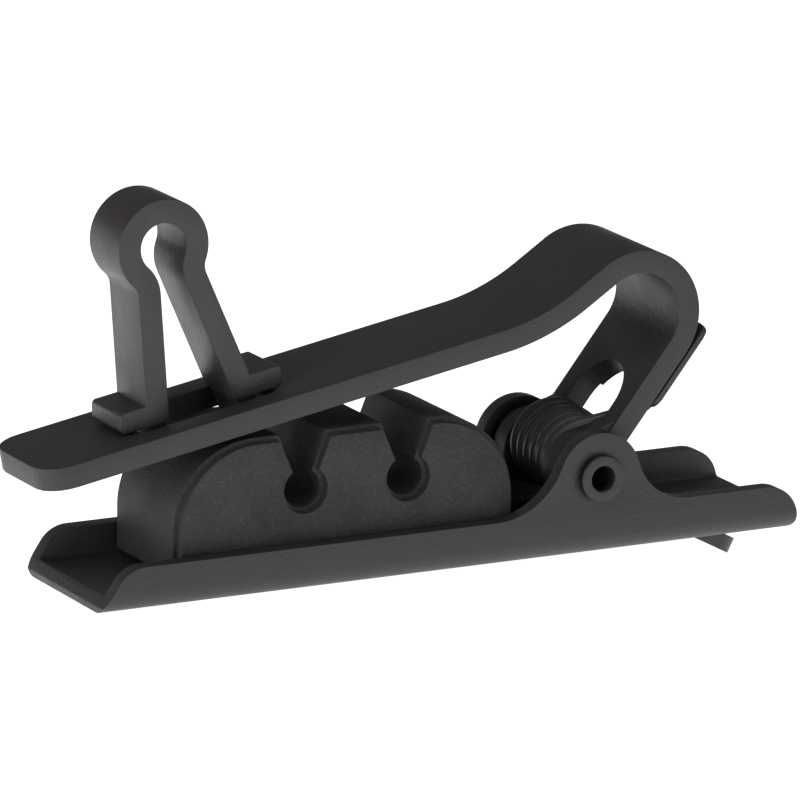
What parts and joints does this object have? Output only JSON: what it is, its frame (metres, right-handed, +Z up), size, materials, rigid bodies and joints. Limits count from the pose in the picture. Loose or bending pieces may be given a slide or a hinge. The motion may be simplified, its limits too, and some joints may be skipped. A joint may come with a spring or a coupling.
{
  "type": "microphone tie clip",
  "caption": "Black sprung lapel clip: channel base with a slotted cable block, gooseneck jaw on a riveted pivot, torsion spring and a bent strip loop that carries a small microphone.",
  "frame": {"origin": "on the flat underside of the base, in its middle plane, midway between the two studs of the cable block", "axes": "+X from the open nose to the tail, +Y across the clip, +Z up out of the base"},
  "size_m": [0.0419, 0.0102, 0.0223],
  "materials": {
    "black_coat": "satin black coating on folded sheet steel, fine grain",
    "jaw_coat": "matt black coating on bent strip steel",
    "loop_coat": "satin black coating with a soft grey sheen",
    "moulded_black": "matt black moulding with fine light specks",
    "blackened_steel": "blackened steel, slightly shiny"
  },
  "bodies": {
    "base": {"base_channel": "black_coat", "cable_block": "moulded_black", "pivot_pin": "blackened_steel", "torsion_spring": "blackened_steel"},
    "jaw": {"jaw": "jaw_coat", "leg_plate": "jaw_coat", "mic_loop": "loop_coat"}
  },
  "joints": [
    {"name": "jaw_pivot", "type": "hinge", "parent": "base", "child": "jaw", "pos_m": [0.01407, 0, 0.00407], "axis": [0, 1, 0], "range_deg": [0, 30], "stiffness_Nm_per_rad": 0.0216, "springref_deg": -60.16, "deforming": ["torsion_spring"]}
  ]
}
